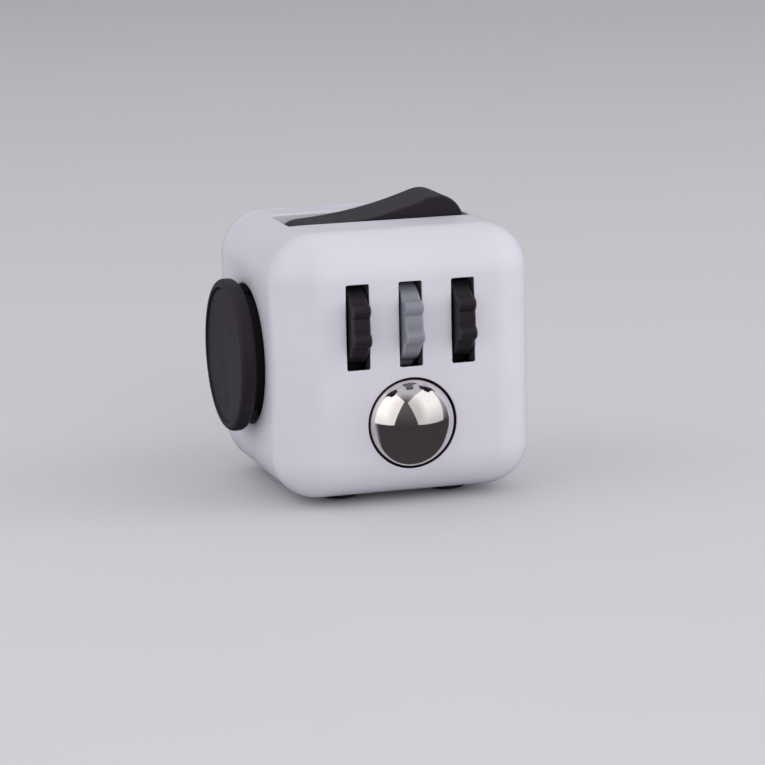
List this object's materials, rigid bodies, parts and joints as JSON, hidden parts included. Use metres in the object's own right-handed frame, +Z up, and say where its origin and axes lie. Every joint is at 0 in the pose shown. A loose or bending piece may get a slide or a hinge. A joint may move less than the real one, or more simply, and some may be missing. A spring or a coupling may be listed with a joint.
{
  "type": "fidget cube",
  "caption": "Palm-sized rounded cube with a hand toy on each face: thumb wheels and a steel ball, a sliding thumb pad, a rocker, a thumb dish, a dial and push buttons.",
  "frame": {"origin": "the flat tip of the middle push button, on the plane that the cube rests on", "axes": "+Z up towards the rocker, -Y towards the face with the thumb wheels and ball, -X towards the sliding pad, +X towards the thumb dish"},
  "size_m": [0.0361, 0.0389, 0.0366],
  "materials": {
    "shell_plastic": "satin moulded plastic",
    "black_plastic": "satin moulded plastic",
    "grey_plastic": "satin moulded plastic",
    "frame_plastic": "plain moulded plastic",
    "slide_plastic": "slick natural nylon",
    "steel": "plain steel",
    "ball_steel": "polished",
    "rubber": "soft"
  },
  "bodies": {
    "case": {"main_shell": "shell_plastic", "back_cover": "shell_plastic", "cover_screws": "steel", "roller_frame": "frame_plastic", "roller_frame_screws": "steel", "wheel_axle": "steel", "wheel_click_spring": "steel", "ball_spring": "steel", "ball_housing": "frame_plastic", "ball_housing_screws": "steel", "glide_retainer": "frame_plastic", "glide_retainer_screws": "steel", "glide_springs_vertical": "steel", "rocker_pin": "steel", "rocker_bracket": "frame_plastic", "rocker_bracket_screws": "steel", "dial_bushing": "slide_plastic", "dome_front_left": "steel", "dome_front_right": "steel", "dome_centre": "steel", "pad_back_left": "rubber", "pad_back_right": "rubber", "click_plate": "frame_plastic", "click_plate_screws": "steel"},
    "wheel_left": {"wheel_left": "black_plastic"},
    "wheel_middle": {"wheel_middle": "grey_plastic"},
    "wheel_right": {"wheel_right": "black_plastic"},
    "ball_cup": {"ball_cup": "frame_plastic"},
    "ball_seat": {"ball_seat_ring": "slide_plastic"},
    "ball": {"ball": "ball_steel"},
    "glide_slide": {"glide_cross_slide": "slide_plastic", "glide_springs_sideways": "steel"},
    "glide_pad": {"glide_pad": "black_plastic", "glide_skirt": "black_plastic", "glide_screw": "steel"},
    "rocker": {"rocker": "black_plastic", "rocker_plunger": "slide_plastic", "rocker_spring": "steel"},
    "dial": {"dial": "black_plastic", "dial_wave_washer": "steel", "dial_retainer": "steel", "dial_screw": "steel"},
    "button_front_left": {"button_front_left": "black_plastic"},
    "button_front_right": {"button_front_right": "black_plastic"},
    "button_centre": {"button_centre": "grey_plastic"},
    "button_back_left": {"button_back_left": "black_plastic"},
    "button_back_right": {"button_back_right": "black_plastic"}
  },
  "joints": [
    {"name": "wheel_left_turn", "type": "hinge", "parent": "case", "child": "wheel_left", "pos_m": [-0.0067, -0.0131, 0.02285], "axis": [1, 0, 0], "continuous": true},
    {"name": "wheel_middle_turn", "type": "hinge", "parent": "case", "child": "wheel_middle", "pos_m": [0, -0.0131, 0.02285], "axis": [1, 0, 0], "continuous": true},
    {"name": "wheel_right_turn", "type": "hinge", "parent": "case", "child": "wheel_right", "pos_m": [0.0067, -0.0131, 0.02285], "axis": [1, 0, 0], "continuous": true},
    {"name": "ball_press", "type": "slide", "parent": "case", "child": "ball_cup", "axis": [0, 1, 0], "range_m": [0, 0.0008], "stiffness_N_per_m": 1500, "springref_m": -0.001, "deforming": ["ball_spring"]},
    {"name": "ball_twist", "type": "hinge", "parent": "ball_cup", "child": "ball_seat", "pos_m": [0, -0.01385, 0.01055], "axis": [0, 1, 0], "continuous": true},
    {"name": "ball_roll", "type": "hinge", "parent": "ball_seat", "child": "ball", "pos_m": [0, -0.01385, 0.01055], "axis": [1, 0, 0], "continuous": true},
    {"name": "glide_vertical", "type": "slide", "parent": "case", "child": "glide_slide", "axis": [0, 0, 1], "range_m": [-0.001, 0.001], "stiffness_N_per_m": 300, "deforming": ["glide_springs_vertical"]},
    {"name": "glide_sideways", "type": "slide", "parent": "glide_slide", "child": "glide_pad", "axis": [0, 1, 0], "range_m": [-0.001, 0.001], "stiffness_N_per_m": 300, "deforming": ["glide_springs_sideways"]},
    {"name": "rocker_tip", "type": "hinge", "parent": "case", "child": "rocker", "pos_m": [0, 0, 0.03], "axis": [0, 1, 0], "range_deg": [0, 22]},
    {"name": "dial_turn", "type": "hinge", "parent": "case", "child": "dial", "pos_m": [0, 0.0141, 0.0175], "axis": [0, 1, 0], "continuous": true},
    {"name": "button_front_left_press", "type": "slide", "parent": "case", "child": "button_front_left", "axis": [0, 0, 1], "range_m": [0, 0.0008], "stiffness_N_per_m": 600, "springref_m": -0.0015, "deforming": ["dome_front_left"]},
    {"name": "button_front_right_press", "type": "slide", "parent": "case", "child": "button_front_right", "axis": [0, 0, 1], "range_m": [0, 0.0008], "stiffness_N_per_m": 600, "springref_m": -0.0015, "deforming": ["dome_front_right"]},
    {"name": "button_centre_press", "type": "slide", "parent": "case", "child": "button_centre", "axis": [0, 0, 1], "range_m": [0, 0.0008], "stiffness_N_per_m": 600, "springref_m": -0.0015, "deforming": ["dome_centre"]},
    {"name": "button_back_left_press", "type": "slide", "parent": "case", "child": "button_back_left", "axis": [0, 0, 1], "range_m": [0, 0.0008], "stiffness_N_per_m": 600, "springref_m": -0.0015, "deforming": ["pad_back_left"]},
    {"name": "button_back_right_press", "type": "slide", "parent": "case", "child": "button_back_right", "axis": [0, 0, 1], "range_m": [0, 0.0008], "stiffness_N_per_m": 600, "springref_m": -0.0015, "deforming": ["pad_back_right"]}
  ]
}
